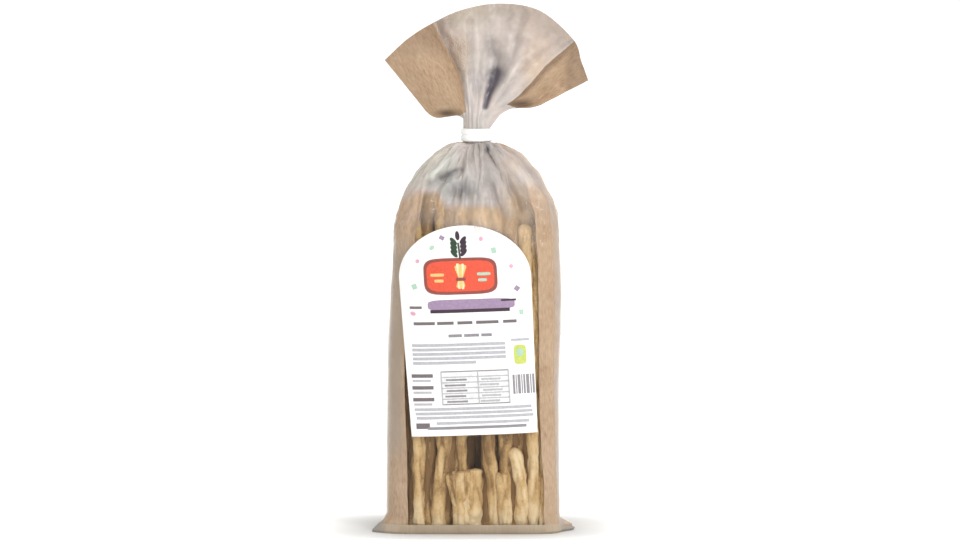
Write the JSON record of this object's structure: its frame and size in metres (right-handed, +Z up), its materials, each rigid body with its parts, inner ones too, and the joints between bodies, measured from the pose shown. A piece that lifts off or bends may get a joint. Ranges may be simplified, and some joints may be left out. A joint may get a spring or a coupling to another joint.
{
  "type": "tied window bag of grissini breadsticks",
  "caption": "Kraft-paper bag with a clear film front, full of upright rough breadsticks, tied at the neck under a flared mouth, with an arched label.",
  "frame": {"origin": "middle of the bag's flat block bottom", "axes": "+Z up from the bottom to the flared mouth, the film front with its label faces -Y, +X is to the right seen from the front"},
  "size_m": [0.1459, 0.074, 0.358],
  "materials": {
    "kraft_paper": "matte",
    "window_film": "gloss",
    "baked_crust": "matte",
    "label_paper": "satin",
    "tie_paper": "matte"
  },
  "bodies": {
    "root": {"bag": "kraft_paper", "label": "label_paper", "neck_tie": "tie_paper"}
  },
  "joints": []
}
